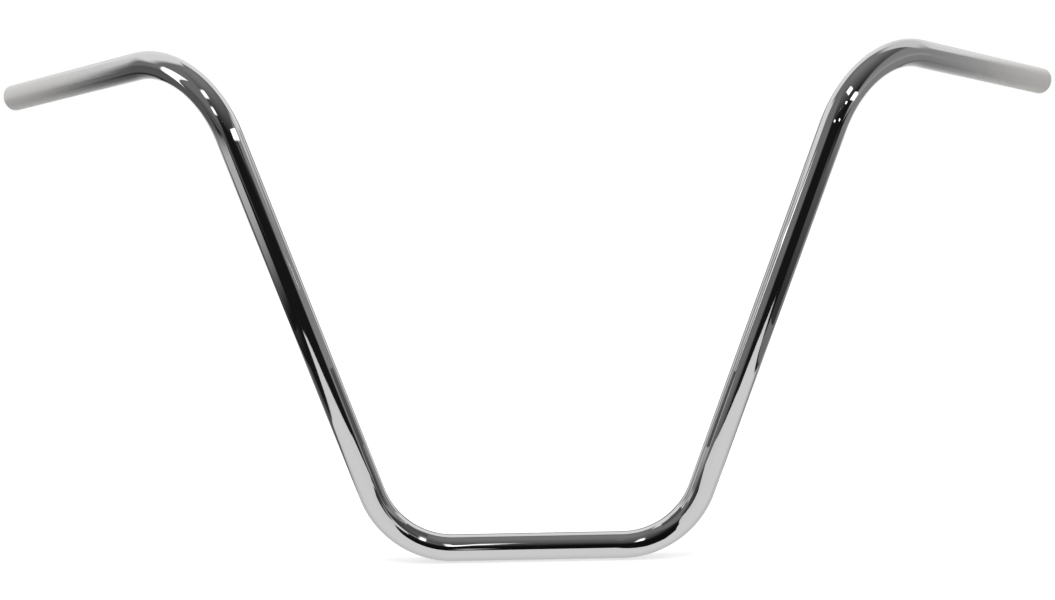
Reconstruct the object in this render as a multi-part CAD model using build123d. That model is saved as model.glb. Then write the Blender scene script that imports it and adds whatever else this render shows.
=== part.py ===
from build123d import *
from math import cos, radians, sin
import os

# Ape hanger handlebar: one round steel tube with four bends, open at both cut ends.
# Millimetres and degrees. The origin is the middle of the clamp straight, X runs along it
# towards the rider's left hand, Y points back towards the rider, and Z points up along the rise.

# Tube section
TUBE_DIAMETER = 22.2
WALL = 2.1

# Straight runs, from the middle of the bar outwards
CLAMP_LENGTH = 139.0
RISER_LENGTH = 314.0
GRIP_LENGTH = 175.0

# Bends, with the radii measured to the tube's centreline
LOWER_BEND_RADIUS = 70.0
UPPER_BEND_RADIUS = 80.0

# Directions: the riser's slope above the clamp line, and how far the grip turns back and down
RISER_SLOPE = 70.2
GRIP_PULL_BACK = 40.0
GRIP_DROOP = 9.0

# Deburred cut ends, as shares of the wall
END_ROUND_SHARE = 0.45
BORE_CHAMFER_SHARE = 0.25

TUBE_RADIUS = TUBE_DIAMETER / 2
BORE_RADIUS = TUBE_RADIUS - WALL
END_ROUND = WALL * END_ROUND_SHARE
BORE_CHAMFER = WALL * BORE_CHAMFER_SHARE


def section(start):
    """The tube's ring section on a plane that faces along the tube."""
    return start * (Circle(TUBE_RADIUS) - Circle(BORE_RADIUS))


def straight(start, length):
    """A straight run from a plane, and the plane where it ends."""
    return extrude(section(start), amount=length), start.offset(length)


def bend(start, towards, radius):
    """A bend that turns the tube until it runs towards a direction, and the plane where it ends."""
    turn_direction = start.z_dir.cross(towards).normalized()
    turn_angle = start.z_dir.get_angle(towards)
    centre = start.origin + turn_direction.cross(start.z_dir) * radius
    run = revolve(section(start), axis=Axis(centre, turn_direction), revolution_arc=turn_angle)
    end = Plane(
        origin=centre - turn_direction.cross(towards) * radius,
        x_dir=start.x_dir.rotate(Axis((0, 0, 0), turn_direction), turn_angle),
        z_dir=towards,
    )
    return run, end


def deburred(run, outwards):
    """A straight run with its outer end's rim rounded and its bore's mouth chamfered."""
    cut_face = run.faces().filter_by(GeomType.PLANE).sort_by(outwards)[-1]
    run = fillet(cut_face.outer_wire().edges(), END_ROUND)
    cut_face = run.faces().filter_by(GeomType.PLANE).sort_by(outwards)[-1]
    return chamfer(cut_face.inner_wires()[0].edges(), BORE_CHAMFER)


# Directions of the left-hand riser and grip
riser_way = Vector(cos(radians(RISER_SLOPE)), 0, sin(radians(RISER_SLOPE)))
level = cos(radians(GRIP_DROOP))
grip_way = Vector(
    level * cos(radians(GRIP_PULL_BACK)),
    level * sin(radians(GRIP_PULL_BACK)),
    -sin(radians(GRIP_DROOP)),
)

# The clamp straight lies across the middle, half of it on each side
clamp_right = Plane(origin=(-CLAMP_LENGTH / 2, 0, 0), x_dir=(0, 1, 0), z_dir=(1, 0, 0))
clamp_run, clamp_left = straight(clamp_right, CLAMP_LENGTH)

# The left-hand side, run by run as the tube is bent: up, then out and back to the grip
lower_bend, riser_foot = bend(clamp_left, riser_way, LOWER_BEND_RADIUS)
riser_run, riser_head = straight(riser_foot, RISER_LENGTH)
upper_bend, grip_root = bend(riser_head, grip_way, UPPER_BEND_RADIUS)
grip_run, grip_end = straight(grip_root, GRIP_LENGTH)
grip_run = deburred(grip_run, Axis(grip_root.origin, grip_way))
left_side = lower_bend + riser_run + upper_bend + grip_run

# The right-hand side mirrors it, and the whole bar is one solid
right_side = mirror(left_side, about=Plane.YZ)
bar = clamp_run + left_side + right_side
bar = bar.solid()
bar.label = "handlebar_tube"

os.makedirs("parts", exist_ok=True)
export_step(bar, "parts/handlebar_tube.step")
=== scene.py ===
from math import cos, pi, radians, sin, tan

import bpy
from mathutils import Matrix, Vector


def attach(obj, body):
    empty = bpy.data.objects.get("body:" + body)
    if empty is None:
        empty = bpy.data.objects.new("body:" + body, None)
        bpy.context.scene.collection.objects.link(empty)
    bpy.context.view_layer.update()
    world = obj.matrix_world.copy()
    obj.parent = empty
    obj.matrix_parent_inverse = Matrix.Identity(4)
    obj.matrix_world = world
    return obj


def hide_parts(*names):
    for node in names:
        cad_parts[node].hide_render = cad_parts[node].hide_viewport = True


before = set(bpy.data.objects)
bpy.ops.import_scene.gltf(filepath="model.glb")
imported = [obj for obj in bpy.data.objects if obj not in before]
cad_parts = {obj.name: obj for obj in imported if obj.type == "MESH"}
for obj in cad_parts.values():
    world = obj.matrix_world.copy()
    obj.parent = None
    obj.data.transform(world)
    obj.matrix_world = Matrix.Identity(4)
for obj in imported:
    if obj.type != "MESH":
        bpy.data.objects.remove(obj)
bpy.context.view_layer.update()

# Ape hanger handlebar: one chromed steel tube with four bends, dull where the grips go on.
# Metres and degrees, in the part's own frame: the origin is the middle of the clamp straight,
# X runs along it to the rider's left hand, Y points back to the rider, and Z points up.
# Left and right are the rider's, so the left-hand side is on the right of the picture.

# Tube section
TUBE_RADIUS = 0.0111
WALL = 0.0021

# Straight runs, from the middle of the bar outwards
CLAMP_LENGTH = 0.139
RISER_LENGTH = 0.314
GRIP_LENGTH = 0.175

# Bends, with the radii measured to the tube's centreline
LOWER_BEND_RADIUS = 0.070
UPPER_BEND_RADIUS = 0.080

# Directions: the riser's slope above the clamp line, and how far the grip turns back and down
RISER_SLOPE = 70.2
GRIP_PULL_BACK = 40.0
GRIP_DROOP = 9.0

# Deburred cut ends: the shares of the wall that are rounded off outside and chamfered at the bore
END_ROUND_SHARE = 0.45
END_ROUND_STEPS = 5
END_ROUND_PROFILE = 0.5
BORE_CHAMFER_SHARE = 0.25

# How finely the tube's surface is divided, and how close two points are to count as one
RING_POINTS = 96
STRAIGHT_STEP = 0.008
BEND_STEP = 2.0
SHARP_ANGLE = 40.0
SEAM_MERGE = 1e-5
POINT_MERGE = 1e-6
RIM_TOLERANCE = 1e-4

# The finish: the mirror plating roughens and clouds over between these distances from the bar's middle
ROUGHENING = (0.285, 0.47)
CLOUDING = (0.315, 0.46)
CHROME_TINT = (0.63, 0.63, 0.632, 1.0)
MATT_TINT = (0.66, 0.65, 0.63, 1.0)
MATT_METALLIC = 0.32

# Smudges on the mirror: their size and detail, the part of the noise that is used, and the roughness
SMUDGE_SIZE = 0.05
SMUDGE_DETAIL = 4.0
SMUDGE_SPREAD = (0.45, 0.75)
MIRROR_ROUGHNESS = (0.03, 0.06)

# Fine grain of the matt grip runs
GRAIN_SIZE = 0.0006
GRAIN_DETAIL = 3.0
GRAIN_SPREAD = (0.3, 0.7)
SATIN_ROUGHNESS = (0.36, 0.46)
GRAIN_STRENGTH = 0.3
GRAIN_HEIGHT = 0.00005

# Polish ripple all along the tube
RIPPLE_SIZE = 0.02
RIPPLE_DETAIL = 1.0
RIPPLE_STRENGTH = 0.3
RIPPLE_HEIGHT = 0.0001

# Mottled bare steel in the bore
MOTTLE_SIZE = 0.004
MOTTLE_DETAIL = 5.0
MOTTLE_SPREAD = (0.3, 0.7)
MOTTLE_STRENGTH = 0.4
MOTTLE_HEIGHT = 0.0002
BORE_DARK = (0.16, 0.15, 0.14, 1.0)
BORE_PALE = (0.32, 0.30, 0.28, 1.0)
BORE_ROUGHNESS = (0.5, 0.65)

# Camera, as the photograph was taken
CAMERA_ELEVATION = 8.088
CAMERA_YAW = 0.506
CAMERA_ROLL = -0.936
CAMERA_DISTANCE = 1.5095
CAMERA_TARGET = Vector((-0.00547, 0.0, 0.20552))
SENSOR_WIDTH = 36.0
PICTURE_WIDTH = 1055.0
FOCAL_LENGTH_IN_PIXELS = 1862.1

# White floor and sky, and the soft lamp overhead for the shadow
WHITE = (1.0, 1.0, 1.0, 1.0)
SKY_LIGHT = 0.7
SKY_WHITE = 1.0
FLOOR_REACH = 30.0
FLOOR_COLOUR = (0.8, 0.8, 0.8, 1.0)
FLOOR_GLOW = 0.46
SOFTBOX_PLACE = (0.0, -0.6, 2.2)
SOFTBOX_SIZE = 1.6
SOFTBOX_POWER = 20.0

# The tent that the chrome mirrors: its greys by height, in front and at the sides
TENT_RADIUS = 3.0
TENT_CENTRE = Vector((0.0, 0.0, 0.2))
TENT_SEGMENTS = 96
TENT_RINGS = 48
TENT_OPENING = 0.1
TENT_OPENING_WAY = Vector((0.0, 1.0, -0.4))
FRONT_GREYS = [(-1.0, 0.012), (0.2, 0.012), (0.36, 0.05), (0.58, 0.1), (0.84, 0.18), (1.0, 0.27)]
SIDE_HEIGHTS = (-0.05, 0.15)
LEFT_SIDE = (0.74, 0.86)
LEFT_GREYS = (0.40, 0.32)
RIGHT_SIDE = (0.30, 0.50)
RIGHT_GREYS = (0.12, 0.22)

# White paper under the bar, that dims behind it: from its tip in front it is cut back in a curve at each
# hand (how far at one metre, and its power), has straight sides, and narrows to its back
PAPER_DROP = 0.25
PAPER_SIDES = (-0.83, 0.95)
PAPER_TIP = (0.05, -2.95)
LEFT_FRONT_CURVE = (1.265, 1.33)
RIGHT_FRONT_CURVE = (1.8, 2.27)
PAPER_FRONT_STEPS = 12
LEFT_PAPER_EDGE = [(0.97, 0.2), (0.62, 0.5), (0.3, 1.6)]
RIGHT_PAPER_EDGE = [(-0.82, 0.0), (-0.8, 0.12), (-0.55, 0.5), (-0.25, 1.6)]
PAPER_DIMMING = (-0.15, 0.2)
PAPER_GLOWS = (0.93, 0.72)

# Dark floor round the paper, that pales to its far edges beside and behind the bar
DARK_FLOOR_DROP = 0.252
DARK_FLOOR_GLOW = 0.012
DARK_FLOOR_REACH = 3.0
DARK_FLOOR_BACK = 1.6
PALE_FLOOR_DROP = 0.251
PALE_FLOOR_FRONT = -0.8
PALE_FLOOR_START = 0.98
PALE_FLOOR_PALING = (0.98, 1.3)
LEFT_FLOOR_GLOWS = (0.22, 0.30)
RIGHT_FLOOR_GLOWS = (0.012, 0.13)

# Floor between the paper's narrow back and the pale floor, that pales to the back
REAR_PALING = (0.25, 1.1)
LEFT_REAR_GLOWS = (0.27, 0.6)
RIGHT_REAR_GLOWS = (0.1, 0.5)

# Side cards level with the risers, that dim towards their lower edges and clear at their top edges
SIDE_CARD_PLACE = 0.45
SIDE_CARD_FRONT = -0.28
SIDE_CARD_BACK = 0.07
SIDE_CARD_HEIGHTS = (0.06, 0.285)
SIDE_CARD_PALING = (0.07, 0.22)
LEFT_CARD_CLEARING = (0.2, 0.285)
RIGHT_CARD_CLEARING = (0.245, 0.285)
LEFT_CARD_GLOWS = (0.05, 0.12)
RIGHT_CARD_GLOWS = (0.012, 0.62)

# White fin in the middle of the set, in line with the camera: its top edge rises from its back end to a
# crest, in a curve of this power, and falls to its front (how far at one metre, and the curve's power)
FIN_PLACE = -0.0187
FIN_BACK = (-0.102, 0.07)
FIN_CREST = (-0.2, 0.102)
FIN_FRONT = -2.9
FIN_RISE_POWER = 1.5
FIN_FALL = (0.092, 1.32)
FIN_STEPS = 16
FIN_GLOW = 0.9

# Grey flag upright between the risers, in the fin's plane
FLAG_SPAN = (-0.065, 0.03)
FLAG_HEIGHTS = (0.11, 0.185)
FLAG_GLOW = 0.12

# Dark dome close in front of the clamp straight, paler at its top: the corners of its outline as the camera
# sees it, each with the turn of the arc that leads on to the next (none where the edge is straight)
DOME_PLACE = -0.1
DOME_CORNERS = [
    ((-0.053, -0.017), 0.0), ((0.069, -0.017), 30.0), ((0.103, -0.047), 0.0), ((0.125, -0.043), 0.0),
    ((0.127, -0.018), 0.0), ((0.108, 0.013), 19.0), ((0.03, 0.08), 0.0), ((-0.017, 0.083), 18.0),
    ((-0.093, 0.028), 0.0), ((-0.101, 0.016), 116.0), ((-0.086, -0.014), 0.0),
]
DOME_ARC_STEPS = 12
DOME_PALING = (0.025, 0.085)
DOME_GLOWS = (0.007, 0.1)

# Two thin lamps on the dome's right-hand side: their corners across and up
GLINT_PLACE = -0.098
GLINT_GLOW = 0.9
GLINT_SOFTNESS = 0.4
GLINTS = {
    "high_glint": [(-0.076, 0.058), (-0.02, 0.061), (-0.02, 0.066), (-0.076, 0.070)],
    "low_glint": [(-0.076, -0.006), (-0.03, 0.0), (-0.03, 0.006), (-0.076, 0.012)],
}

# Where the cards and lamps are aimed from
MIDDLE = TENT_CENTRE
UPPER_RIGHT_BEND = Vector((-0.272, 0.0, 0.385))
UPPER_LEFT_BEND = Vector((0.272, 0.0, 0.385))
LOWER_RIGHT_BEND = Vector((-0.095, 0.0, 0.01))
LOWER_LEFT_BEND = Vector((0.095, 0.0, 0.01))
RIGHT_GRIP = Vector((-0.36, 0.07, 0.37))

# Cards and lamps round the bar: where they are aimed from, how far off, how bright, how soft their
# edges are, and the azimuth and elevation of their four corners (straight at the camera's side is 0, 0)
CARDS = {
    "tall_window": (UPPER_RIGHT_BEND, 0.42, 1.8, 0.06, [(-82, -4), (-83, -16), (-43, 31), (-75, 24)]),
    "high_card_right": (UPPER_RIGHT_BEND, 0.47, 1.0, 0.2, [(-180, 15), (-78, 15), (-74, 70), (-185, 80)]),
    "high_card_left": (UPPER_LEFT_BEND, 0.47, 0.82, 0.3, [(94, 12), (180, 12), (185, 80), (94, 74)]),
    "grip_card_right": (RIGHT_GRIP, 0.4, 0.85, 0.3, [(-140, -10), (-84, -10), (-84, 44), (-140, 44)]),
    "rear_flag_left": (MIDDLE, 2.3, 0.33, 0.02, [(92, -25), (136, -25), (136, 23), (92, 23)]),
    "rear_flag_right": (MIDDLE, 2.3, 0.42, 0.02, [(-136, -25), (-104, -25), (-104, 20), (-136, 20)]),
    "rear_flag_middle": (MIDDLE, 2.3, 0.3, 0.05, [(150, -9), (210, -9), (210, 17), (150, 17)]),
    "upper_right_high_spark": (UPPER_RIGHT_BEND, 0.1, 2.6, 0.3, [(-21, 32), (11, 49), (15, 29), (-15, 15)]),
    "upper_right_spark": (UPPER_RIGHT_BEND, 0.1, 2.6, 0.3, [(-15, 5), (2, 14), (7, -2), (-12, -8)]),
    "upper_right_bar": (UPPER_RIGHT_BEND, 0.112, 2.6, 0.2, [(84, 0), (84, -12), (44, -17), (44, -5)]),
    "upper_left_lamp": (UPPER_LEFT_BEND, 0.081, 2.8, 0.2, [(-39, 27), (-31, 39), (3, 20), (-7, 10)]),
    "upper_left_spark": (UPPER_LEFT_BEND, 0.084, 2.6, 0.2, [(-8, -1), (-5, 3), (7, -4), (4, -8)]),
    "upper_left_bar": (UPPER_LEFT_BEND, 0.079, 3.0, 0.2, [(11, -6), (22, 4), (56, -20), (48, -27)]),
    "upper_left_low_spark": (UPPER_LEFT_BEND, 0.095, 2.4, 0.2, [(-6, -23), (-4, -20), (7, -26), (5, -29)]),
    "upper_left_far_spark": (UPPER_LEFT_BEND, 0.103, 2.2, 0.2,
                             [(-34, -14), (-33, -10), (-21, -15), (-23, -18)]),
}

# Two long lamps in one plane, that slopes up to the front and is edge-on to both upper bends: where they
# are aimed from, how soft their edges are, and the azimuth and elevation of their four corners
LONG_LAMP_SLOPE = 17.0
LONG_LAMP_HEIGHT = 0.348
LONG_LAMP_GLOW = 2.4
LONG_LAMPS = {
    "lower_right_lamp": (LOWER_RIGHT_BEND, 0.3, [(49, 51.3), (41, 57.7), (13.6, 26.4), (17.4, 23.7)]),
    "lower_left_lamp": (LOWER_LEFT_BEND, 0.25, [(-12.5, 48), (-20.5, 46), (-8, 24.4), (-2.2, 25)]),
}


# Modelling helpers

def deselect_all():
    """Leaves nothing selected and no object active, in object mode."""
    bpy.ops.object.select_all(action="DESELECT")
    bpy.context.view_layer.objects.active = None


def run_straight(start, way, length):
    """The tube's open ring runs straight on, in even steps, and the point where it stops is given back."""
    steps = max(1, round(length / STRAIGHT_STEP))
    for _ in range(steps):
        bpy.ops.mesh.extrude_region_move(TRANSFORM_OT_translate={"value": way * (length / steps)})
    return start + way * length


def run_bend(start, way, towards, radius):
    """The tube's open ring turns round a bend, and the point where it comes out is given back."""
    axis = way.cross(towards).normalized()
    centre = start + axis.cross(way) * radius
    turn = way.angle(towards)
    steps = round(turn / radians(BEND_STEP))
    bpy.ops.mesh.spin(steps=steps, angle=-turn, center=centre, axis=axis)
    return centre - axis.cross(towards) * radius


def apply_modifier(piece, kind, **settings):
    """Adds a modifier with its settings and applies it at once."""
    modifier = piece.modifiers.new(kind.title(), kind)
    for name, value in settings.items():
        setattr(modifier, name, value)
    bpy.ops.object.modifier_apply(modifier=modifier.name)


def select_edges(piece, wanted):
    """In edit mode, selects the edges whose two ends are both wanted points."""
    bpy.ops.mesh.select_all(action="DESELECT")
    bpy.ops.mesh.select_mode(type="EDGE")
    bpy.ops.object.mode_set(mode="OBJECT")
    points = piece.data.vertices
    for edge in piece.data.edges:
        edge.select = all(wanted(points[index].co) for index in edge.vertices)
    bpy.ops.object.mode_set(mode="EDIT")


def on_cut_rim(grip_end, grip_way, radius):
    """A test for the points of either tube end's rim that lie at this radius."""
    def wanted(point):
        mirrored = Vector((abs(point.x), point.y, point.z)) - grip_end
        along = mirrored.dot(grip_way)
        out = (mirrored - grip_way * along).length
        return abs(along) < RIM_TOLERANCE and abs(out - radius) < RIM_TOLERANCE
    return wanted


# Material helpers

def new_material(name):
    """An empty node material and its shader tree, with an output node."""
    material = bpy.data.materials.new(name)
    material.use_nodes = True
    tree = material.node_tree
    tree.nodes.clear()
    output = tree.nodes.new("ShaderNodeOutputMaterial")
    return material, tree, output


def set_input(tree, socket, value):
    """Links a node's output to the socket, or sets the socket to a plain value."""
    if isinstance(value, bpy.types.NodeSocket):
        tree.links.new(value, socket)
    else:
        socket.default_value = value


def add_node(tree, kind, settings=None, **inputs):
    """A node with its settings, and with values or links on its named inputs."""
    node = tree.nodes.new(kind)
    for name, value in (settings or {}).items():
        setattr(node, name, value)
    for name, value in inputs.items():
        set_input(tree, node.inputs[name.replace("_", " ")], value)
    return node


def calc(tree, operation, first, second=0.0):
    """The result of a sum on one or two values."""
    node = tree.nodes.new("ShaderNodeMath")
    node.operation = operation
    for socket, value in zip(node.inputs, (first, second)):
        set_input(tree, socket, value)
    return node.outputs[0]


def ramp(tree, value, low, high, bottom=0.0, top=1.0):
    """A smooth rise from bottom to top as the value goes from low to high."""
    node = add_node(tree, "ShaderNodeMapRange", {"interpolation_type": "SMOOTHSTEP"},
                    Value=value, From_Min=low, From_Max=high, To_Min=bottom, To_Max=top)
    return node.outputs["Result"]


def noise(tree, place, wave_length, detail):
    """Soft noise with bumps of about this size, from 0 to 1."""
    node = add_node(tree, "ShaderNodeTexNoise", Vector=place, Scale=1.0 / wave_length, Detail=detail)
    return node.outputs["Fac"]


def object_place(tree):
    """The place on the piece, in the part's own frame."""
    return add_node(tree, "ShaderNodeTexCoord").outputs["Object"]


def mix_colours(tree, share, first, second):
    """A mix of two plain colours, by the second one's share."""
    node = add_node(tree, "ShaderNodeMix", {"data_type": "RGBA"})
    in_use = [socket for socket in node.inputs if socket.enabled]
    for socket, value in zip(in_use, (share, first, second)):
        set_input(tree, socket, value)
    return next(socket for socket in node.outputs if socket.enabled)


def mix_shaders(tree, share, first, second, output):
    """Sends the output a mix of two shaders, by the second one's share."""
    both = add_node(tree, "ShaderNodeMixShader", Fac=share)
    tree.links.new(first.outputs[0], both.inputs[1])
    tree.links.new(second.outputs[0], both.inputs[2])
    tree.links.new(both.outputs[0], output.inputs["Surface"])


# The tube

def make_tube():
    """The bar: half of its skin run out from the clamp's middle, mirrored, and given its wall and ends."""
    clamp_way = Vector((1.0, 0.0, 0.0))
    riser_way = Vector((cos(radians(RISER_SLOPE)), 0.0, sin(radians(RISER_SLOPE))))
    reach = cos(radians(GRIP_DROOP))
    grip_way = Vector((reach * cos(radians(GRIP_PULL_BACK)),
                       reach * sin(radians(GRIP_PULL_BACK)),
                       -sin(radians(GRIP_DROOP))))

    deselect_all()
    bpy.ops.mesh.primitive_circle_add(vertices=RING_POINTS, radius=TUBE_RADIUS, rotation=(0.0, pi / 2, 0.0))
    bpy.ops.object.transform_apply(location=True, rotation=True, scale=True)
    piece = bpy.context.active_object
    piece.name = "chromed_tube"
    piece.data.name = "chromed_tube"

    bpy.ops.object.mode_set(mode="EDIT")
    bpy.ops.mesh.select_all(action="SELECT")
    clamp_end = run_straight(Vector((0.0, 0.0, 0.0)), clamp_way, CLAMP_LENGTH / 2)
    riser_foot = run_bend(clamp_end, clamp_way, riser_way, LOWER_BEND_RADIUS)
    riser_head = run_straight(riser_foot, riser_way, RISER_LENGTH)
    grip_root = run_bend(riser_head, riser_way, grip_way, UPPER_BEND_RADIUS)
    grip_end = run_straight(grip_root, grip_way, GRIP_LENGTH)
    bpy.ops.object.mode_set(mode="OBJECT")

    apply_modifier(piece, "MIRROR", use_axis=(True, False, False), merge_threshold=SEAM_MERGE)
    bpy.ops.object.mode_set(mode="EDIT")
    bpy.ops.mesh.select_all(action="SELECT")
    bpy.ops.mesh.remove_doubles(threshold=POINT_MERGE)
    bpy.ops.mesh.normals_make_consistent(inside=False)
    bpy.ops.object.mode_set(mode="OBJECT")
    apply_modifier(piece, "SOLIDIFY", thickness=WALL, offset=-1.0, material_offset=1, material_offset_rim=0)

    bpy.ops.object.mode_set(mode="EDIT")
    select_edges(piece, on_cut_rim(grip_end, grip_way, TUBE_RADIUS))
    bpy.ops.mesh.bevel(offset=END_ROUND_SHARE * WALL, segments=END_ROUND_STEPS,
                       profile=END_ROUND_PROFILE, affect="EDGES")
    select_edges(piece, on_cut_rim(grip_end, grip_way, TUBE_RADIUS - WALL))
    bpy.ops.mesh.bevel(offset=BORE_CHAMFER_SHARE * WALL, segments=1, affect="EDGES")
    bpy.ops.object.mode_set(mode="OBJECT")
    bpy.ops.object.shade_smooth_by_angle(angle=radians(SHARP_ANGLE))
    return piece


def chrome_plating():
    """A mirror with a faint polish ripple, that dulls to a matt grey on the grip runs."""
    material, tree, output = new_material("chrome_plating")
    place = object_place(tree)
    from_middle = calc(tree, "ABSOLUTE", add_node(tree, "ShaderNodeSeparateXYZ", Vector=place).outputs["X"])
    satin = ramp(tree, from_middle, *ROUGHENING)
    cloudy = ramp(tree, from_middle, *CLOUDING)
    metallic = ramp(tree, from_middle, *CLOUDING, 1.0, MATT_METALLIC)

    ripple = noise(tree, place, RIPPLE_SIZE, RIPPLE_DETAIL)
    grain = noise(tree, place, GRAIN_SIZE, GRAIN_DETAIL)
    smudge = noise(tree, place, SMUDGE_SIZE, SMUDGE_DETAIL)

    mirror_roughness = ramp(tree, smudge, *SMUDGE_SPREAD, *MIRROR_ROUGHNESS)
    satin_roughness = ramp(tree, grain, *GRAIN_SPREAD, *SATIN_ROUGHNESS)
    roughness = add_node(tree, "ShaderNodeMix", A=mirror_roughness, B=satin_roughness, Factor=satin)

    tint = mix_colours(tree, cloudy, CHROME_TINT, MATT_TINT)

    ripple_bump = add_node(tree, "ShaderNodeBump", Height=ripple, Strength=RIPPLE_STRENGTH,
                           Distance=RIPPLE_HEIGHT)
    grain_bump = add_node(tree, "ShaderNodeBump", Height=grain, Distance=GRAIN_HEIGHT,
                          Strength=calc(tree, "MULTIPLY", satin, GRAIN_STRENGTH),
                          Normal=ripple_bump.outputs["Normal"])
    shader = add_node(tree, "ShaderNodeBsdfPrincipled", Metallic=metallic, Base_Color=tint,
                      Roughness=roughness.outputs[0], Normal=grain_bump.outputs["Normal"])
    tree.links.new(shader.outputs["BSDF"], output.inputs["Surface"])
    return material


def bore_steel():
    """Bare mottled steel, for the inside of the tube."""
    material, tree, output = new_material("bore_steel")
    mottle = noise(tree, object_place(tree), MOTTLE_SIZE, MOTTLE_DETAIL)
    tint = add_node(tree, "ShaderNodeValToRGB", Fac=mottle)
    tint.color_ramp.elements[0].color = BORE_DARK
    tint.color_ramp.elements[1].color = BORE_PALE
    bump = add_node(tree, "ShaderNodeBump", Height=mottle, Strength=MOTTLE_STRENGTH, Distance=MOTTLE_HEIGHT)
    shader = add_node(tree, "ShaderNodeBsdfPrincipled", Metallic=1.0, Base_Color=tint.outputs["Color"],
                      Roughness=ramp(tree, mottle, *MOTTLE_SPREAD, *BORE_ROUGHNESS),
                      Normal=bump.outputs["Normal"])
    tree.links.new(shader.outputs["BSDF"], output.inputs["Surface"])
    return material


tube = make_tube()
tube.data.materials.append(chrome_plating())
tube.data.materials.append(bore_steel())
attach(tube, "root")
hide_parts("handlebar_tube")


# The studio: a white floor and sky, and paper, a tent and cards that only the metal sees

def seen_by_metal_only(card):
    """The card shows in the chrome but not to the camera, and casts no shade."""
    card.visible_camera = False
    card.visible_diffuse = False
    card.visible_transmission = False
    card.visible_shadow = False
    card.visible_volume_scatter = False


def background_rays(tree):
    """1 for the rays that show the background: the camera's own, and those mirrored or let through."""
    path = add_node(tree, "ShaderNodeLightPath")
    seen = calc(tree, "MAXIMUM", path.outputs["Is Camera Ray"], path.outputs["Is Glossy Ray"])
    return calc(tree, "MAXIMUM", seen, path.outputs["Is Transmission Ray"])


def make_sky():
    """A sky that lights the set softly and shows as plain white."""
    world = bpy.data.worlds.new("white_studio")
    bpy.context.scene.world = world
    world.use_nodes = True
    tree = world.node_tree
    tree.nodes.clear()
    output = tree.nodes.new("ShaderNodeOutputWorld")
    light = add_node(tree, "ShaderNodeBackground", Color=WHITE, Strength=SKY_LIGHT)
    white = add_node(tree, "ShaderNodeBackground", Color=WHITE, Strength=SKY_WHITE)
    mix_shaders(tree, background_rays(tree), light, white, output)


def make_floor():
    """A pale matt floor under the bar, that shows as white and keeps the bar's shadow."""
    deselect_all()
    bpy.ops.mesh.primitive_plane_add(size=FLOOR_REACH, location=(0.0, 0.0, -TUBE_RADIUS))
    floor = bpy.context.active_object
    floor.name = "floor"
    floor.visible_glossy = False
    material, tree, output = new_material("white_floor")
    matt = add_node(tree, "ShaderNodeBsdfDiffuse", Color=FLOOR_COLOUR)
    glow = add_node(tree, "ShaderNodeEmission", Color=WHITE,
                    Strength=calc(tree, "MULTIPLY", background_rays(tree), FLOOR_GLOW))
    both = tree.nodes.new("ShaderNodeAddShader")
    tree.links.new(matt.outputs[0], both.inputs[0])
    tree.links.new(glow.outputs[0], both.inputs[1])
    tree.links.new(both.outputs[0], output.inputs["Surface"])
    floor.data.materials.append(material)


def tent_cloth():
    """Dark in front near the horizon, and grey overhead and at the sides."""
    material, tree, output = new_material("tent_cloth")
    offset = add_node(tree, "ShaderNodeVectorMath", {"operation": "SUBTRACT"})
    tree.links.new(object_place(tree), offset.inputs[0])
    offset.inputs[1].default_value = TENT_CENTRE
    unit = add_node(tree, "ShaderNodeVectorMath", {"operation": "NORMALIZE"})
    tree.links.new(offset.outputs[0], unit.inputs[0])
    direction = add_node(tree, "ShaderNodeSeparateXYZ", Vector=unit.outputs[0])
    height = add_node(tree, "ShaderNodeMapRange", Value=direction.outputs["Z"], From_Min=-1.0, From_Max=1.0)
    front_grey = add_node(tree, "ShaderNodeValToRGB", Fac=height.outputs["Result"])
    greys = front_grey.color_ramp.elements
    while len(greys) < len(FRONT_GREYS):
        greys.new(0.5)
    for element, (level, grey) in zip(greys, FRONT_GREYS):
        element.position = (level + 1.0) / 2.0
        element.color = (grey, grey, grey, 1.0)
    towards_left = ramp(tree, direction.outputs["X"], *LEFT_SIDE)
    towards_right = ramp(tree, calc(tree, "MULTIPLY", direction.outputs["X"], -1.0), *RIGHT_SIDE)
    left_grey = ramp(tree, direction.outputs["Z"], *SIDE_HEIGHTS, *LEFT_GREYS)
    right_grey = ramp(tree, direction.outputs["Z"], *SIDE_HEIGHTS, *RIGHT_GREYS)
    with_left = add_node(tree, "ShaderNodeMix", Factor=towards_left,
                         A=front_grey.outputs["Color"], B=left_grey)
    strength = add_node(tree, "ShaderNodeMix", Factor=towards_right, A=with_left.outputs[0], B=right_grey)
    glow = add_node(tree, "ShaderNodeEmission", Strength=strength.outputs[0])
    tree.links.new(glow.outputs[0], output.inputs["Surface"])
    return material


def make_tent():
    """A round tent over the set, cut open to the white behind."""
    deselect_all()
    bpy.ops.mesh.primitive_uv_sphere_add(segments=TENT_SEGMENTS, ring_count=TENT_RINGS, radius=TENT_RADIUS,
                                         location=TENT_CENTRE)
    bpy.ops.object.transform_apply(location=True, rotation=True, scale=True)
    tent = bpy.context.active_object
    tent.name = "tent"
    bpy.ops.object.mode_set(mode="EDIT")
    bpy.ops.mesh.select_all(action="SELECT")
    bpy.ops.mesh.bisect(plane_co=TENT_CENTRE + Vector((0.0, TENT_OPENING * TENT_RADIUS, 0.0)),
                        plane_no=TENT_OPENING_WAY, clear_outer=True)
    bpy.ops.object.mode_set(mode="OBJECT")
    bpy.ops.object.shade_smooth()
    seen_by_metal_only(tent)
    tent.data.materials.append(tent_cloth())


def even_glow(name, strength):
    """A plain white glow of one strength."""
    material, tree, output = new_material(name)
    glow = add_node(tree, "ShaderNodeEmission", Strength=strength)
    tree.links.new(glow.outputs[0], output.inputs["Surface"])
    return material


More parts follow.
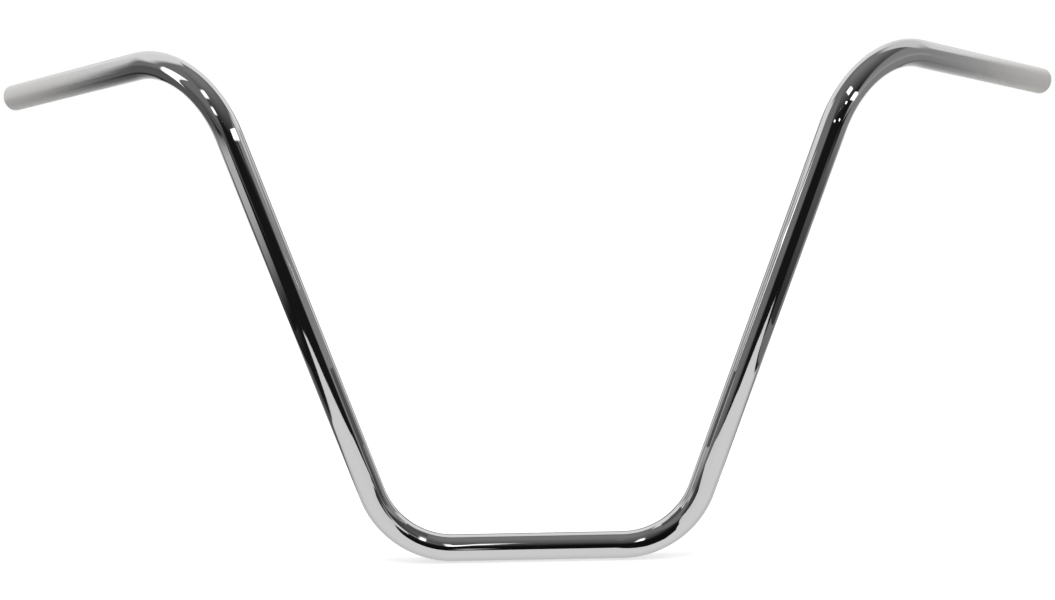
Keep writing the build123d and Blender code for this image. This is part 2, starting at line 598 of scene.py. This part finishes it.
def fading_glow(name, axis, places, glows):
    """A white glow that goes from one strength to another along an axis, or outwards both ways along X."""
    material, tree, output = new_material(name)
    along = add_node(tree, "ShaderNodeSeparateXYZ", Vector=object_place(tree)).outputs[axis]
    if axis == "X":
        along = calc(tree, "ABSOLUTE", along)
    glow = add_node(tree, "ShaderNodeEmission", Strength=ramp(tree, along, *places, *glows))
    tree.links.new(glow.outputs[0], output.inputs["Surface"])
    return material


def side_card_glow(name, glows, clearing):
    """A white glow that dims downwards and clears at the card's top edge."""
    material, tree, output = new_material(name)
    height = add_node(tree, "ShaderNodeSeparateXYZ", Vector=object_place(tree)).outputs["Z"]
    glow = add_node(tree, "ShaderNodeEmission", Strength=ramp(tree, height, *SIDE_CARD_PALING, *glows))
    clear = tree.nodes.new("ShaderNodeBsdfTransparent")
    mix_shaders(tree, ramp(tree, height, *clearing), glow, clear, output)
    return material


def soft_edged_glow(name, strength, softness):
    """A white glow that dies away at the card's edges, over a share of its width and its height."""
    material, tree, output = new_material(name)
    place = add_node(tree, "ShaderNodeTexCoord").outputs["UV"]
    shares = add_node(tree, "ShaderNodeSeparateXYZ", Vector=place).outputs
    inside = 1.0
    for share in (shares["X"], shares["Y"]):
        to_edge = calc(tree, "MINIMUM", share, calc(tree, "SUBTRACT", 1.0, share))
        inside = calc(tree, "MULTIPLY", ramp(tree, to_edge, 0.0, softness), inside)
    clear = tree.nodes.new("ShaderNodeBsdfTransparent")
    glow = add_node(tree, "ShaderNodeEmission", Strength=strength)
    mix_shaders(tree, inside, clear, glow, output)
    return material


def add_board(name, outline, material):
    """A flat board of any outline that only the chrome sees."""
    deselect_all()
    bpy.ops.mesh.primitive_circle_add(vertices=len(outline), fill_type="NGON")
    board = bpy.context.active_object
    board.name = name
    for point, corner in zip(board.data.vertices, outline):
        point.co = corner
    board.data.materials.append(material)
    seen_by_metal_only(board)


def add_card(name, corners, strength, softness):
    """A flat four-cornered card with soft edges that only the chrome sees."""
    deselect_all()
    bpy.ops.mesh.primitive_plane_add(size=1.0)
    card = bpy.context.active_object
    card.name = name
    first, second, third, fourth = corners
    for point, corner in zip(card.data.vertices, (first, second, fourth, third)):
        point.co = corner
    card.data.materials.append(soft_edged_glow(name, strength, softness))
    seen_by_metal_only(card)


def level_outline(outline, drop):
    """An outline seen from above, laid level this far below the clamp straight's middle."""
    return [(across, along, -drop) for across, along in outline]


def rectangle(low, high):
    """The four corners of a rectangle between two opposite corners."""
    (left, bottom), (right, top) = low, high
    return [(left, bottom), (right, bottom), (right, top), (left, top)]


def even_steps(first, last, count):
    """Evenly spaced values from the first to the last, both included."""
    return [first + (last - first) * step / count for step in range(count + 1)]


def paper_outline():
    """The paper as seen from above: its right side, curved front and left side, and its narrowing back."""
    right_side, left_side = PAPER_SIDES
    tip_across, tip_along = PAPER_TIP
    front = []
    for across in even_steps(right_side, left_side, PAPER_FRONT_STEPS):
        curve, power = LEFT_FRONT_CURVE if across > tip_across else RIGHT_FRONT_CURVE
        front.append((across, tip_along + curve * abs(across - tip_across) ** power))
    return RIGHT_PAPER_EDGE[:1] + front + [(left_side, 0.0)] + LEFT_PAPER_EDGE + RIGHT_PAPER_EDGE[:0:-1]


def rear_outline(side, paper_edge):
    """The floor between the paper's edge and the pale floor at one hand, as seen from above."""
    far_across = side * PALE_FLOOR_START
    near_along = paper_edge[0][1]
    return paper_edge[:1] + [(far_across, near_along), (far_across, DARK_FLOOR_BACK)] + paper_edge[:0:-1]


def fin_outline():
    """The fin as seen from its side: its top edge from back to front, and its foot on the paper."""
    back_along, back_height = FIN_BACK
    crest_along, crest_height = FIN_CREST
    fall, power = FIN_FALL
    rise = [(crest_along + (back_along - crest_along) * share,
             crest_height - (crest_height - back_height) * share ** FIN_RISE_POWER)
            for share in even_steps(1.0, 0.0, FIN_STEPS)]
    slope = [(crest_along - run, crest_height - fall * run ** power)
             for run in even_steps(0.0, crest_along - FIN_FRONT, FIN_STEPS)]
    foot = [(FIN_FRONT, -PAPER_DROP), (back_along, -PAPER_DROP)]
    return rise + slope[1:] + foot


def arc_points(start, end, turn):
    """The points of an arc that turns left by so many degrees, from its start up to just before its end."""
    if turn == 0.0:
        return [start]
    run, rise = end[0] - start[0], end[1] - start[1]
    to_centre = 0.5 / tan(radians(turn / 2.0))
    centre = (start[0] + run / 2.0 - rise * to_centre, start[1] + rise / 2.0 + run * to_centre)
    out, over = start[0] - centre[0], start[1] - centre[1]
    angles = [radians(angle) for angle in even_steps(0.0, turn, DOME_ARC_STEPS)[:-1]]
    return [(centre[0] + out * cos(angle) - over * sin(angle),
             centre[1] + out * sin(angle) + over * cos(angle)) for angle in angles]


def dome_outline():
    """The dome as the camera sees it, with straight edges and arcs between its corners."""
    outline = []
    for (start, turn), (end, _) in zip(DOME_CORNERS, DOME_CORNERS[1:] + DOME_CORNERS[:1]):
        outline += arc_points(start, end, turn)
    return outline


def aim(azimuth, elevation):
    """The direction at this azimuth and elevation, seen from the bar."""
    turn, lift = radians(azimuth), radians(elevation)
    return Vector((sin(turn) * cos(lift), -cos(turn) * cos(lift), sin(lift)))


def on_lamp_slope(start, azimuth, elevation):
    """The point of the long lamps' sloping plane that is seen in this direction from the start."""
    way = aim(azimuth, elevation)
    slope = tan(radians(LONG_LAMP_SLOPE))
    distance = (LONG_LAMP_HEIGHT - start.z - slope * start.y) / (way.z + slope * way.y)
    return start + way * distance


make_sky()
make_floor()
make_tent()

# The paper and the floor round it
add_board("paper", level_outline(paper_outline(), PAPER_DROP),
          fading_glow("paper_white", "Y", PAPER_DIMMING, PAPER_GLOWS))
dark_outline = rectangle((-DARK_FLOOR_REACH, -DARK_FLOOR_REACH), (DARK_FLOOR_REACH, DARK_FLOOR_BACK))
add_board("dark_floor", level_outline(dark_outline, DARK_FLOOR_DROP),
          even_glow("dark_floor", DARK_FLOOR_GLOW))

# The pale floor and the side card at each hand
for hand, side, floor_glows, card_glows, clearing in (
        ("left", 1.0, LEFT_FLOOR_GLOWS, LEFT_CARD_GLOWS, LEFT_CARD_CLEARING),
        ("right", -1.0, RIGHT_FLOOR_GLOWS, RIGHT_CARD_GLOWS, RIGHT_CARD_CLEARING)):
    pale_floor = "pale_floor_" + hand
    pale_outline = rectangle((side * PALE_FLOOR_START, PALE_FLOOR_FRONT),
                             (side * DARK_FLOOR_REACH, DARK_FLOOR_BACK))
    add_board(pale_floor, level_outline(pale_outline, PALE_FLOOR_DROP),
              fading_glow(pale_floor, "X", PALE_FLOOR_PALING, floor_glows))
    side_card = "side_card_" + hand
    bottom, top = SIDE_CARD_HEIGHTS
    card_outline = rectangle((SIDE_CARD_FRONT, bottom), (SIDE_CARD_BACK, top))
    add_board(side_card, [(side * SIDE_CARD_PLACE, along, height) for along, height in card_outline],
              side_card_glow(side_card, card_glows, clearing))

# The floor beside the paper's narrow back
for rear_floor, side, paper_edge, glows in (
        ("rear_floor_left", 1.0, LEFT_PAPER_EDGE, LEFT_REAR_GLOWS),
        ("rear_floor_right", -1.0, RIGHT_PAPER_EDGE, RIGHT_REAR_GLOWS)):
    add_board(rear_floor, level_outline(rear_outline(side, paper_edge), PAPER_DROP),
              fading_glow(rear_floor, "Y", REAR_PALING, glows))

# The flag, the fin and the dome
front, back = FLAG_SPAN
bottom, top = FLAG_HEIGHTS
flag_outline = rectangle((front, bottom), (back, top))
add_board("middle_flag", [(FIN_PLACE, along, height) for along, height in flag_outline],
          even_glow("flag_grey", FLAG_GLOW))
add_board("fin", [(FIN_PLACE, along, height) for along, height in fin_outline()],
          even_glow("fin_white", FIN_GLOW))
add_board("dome", [(across, DOME_PLACE, height) for across, height in dome_outline()],
          fading_glow("dome_dark", "Z", DOME_PALING, DOME_GLOWS))

# The cards and lamps
for name, (start, distance, strength, softness, corners) in CARDS.items():
    add_card(name, [start + aim(*corner) * distance for corner in corners], strength, softness)
for name, corners in GLINTS.items():
    add_card(name, [(across, GLINT_PLACE, height) for across, height in corners], GLINT_GLOW, GLINT_SOFTNESS)
for name, (start, softness, corners) in LONG_LAMPS.items():
    add_card(name, [on_lamp_slope(start, *corner) for corner in corners], LONG_LAMP_GLOW, softness)

# The soft lamp overhead
deselect_all()
bpy.ops.object.light_add(type="AREA", location=SOFTBOX_PLACE)
softbox = bpy.context.active_object
softbox.name = "overhead_softbox"
softbox.data.size = SOFTBOX_SIZE
softbox.data.energy = SOFTBOX_POWER
softbox.visible_glossy = False
softbox.visible_camera = False

# Camera
lift, turn, roll = radians(CAMERA_ELEVATION), radians(CAMERA_YAW), radians(CAMERA_ROLL)
looking = Vector((sin(turn) * cos(lift), cos(turn) * cos(lift), -sin(lift)))
flat_right = looking.cross(Vector((0.0, 0.0, 1.0))).normalized()
flat_up = flat_right.cross(looking)
right = flat_right * cos(roll) + flat_up * sin(roll)
up = flat_up * cos(roll) - flat_right * sin(roll)
axes = Matrix((right, up, -looking)).transposed()
camera = bpy.data.objects.new("camera", bpy.data.cameras.new("camera"))
bpy.context.scene.collection.objects.link(camera)
camera.data.sensor_width = SENSOR_WIDTH
camera.data.lens = SENSOR_WIDTH * FOCAL_LENGTH_IN_PIXELS / PICTURE_WIDTH
camera.matrix_world = Matrix.Translation(CAMERA_TARGET - looking * CAMERA_DISTANCE) @ axes.to_4x4()
bpy.context.scene.camera = camera

bpy.context.scene.view_settings.view_transform = "Standard"
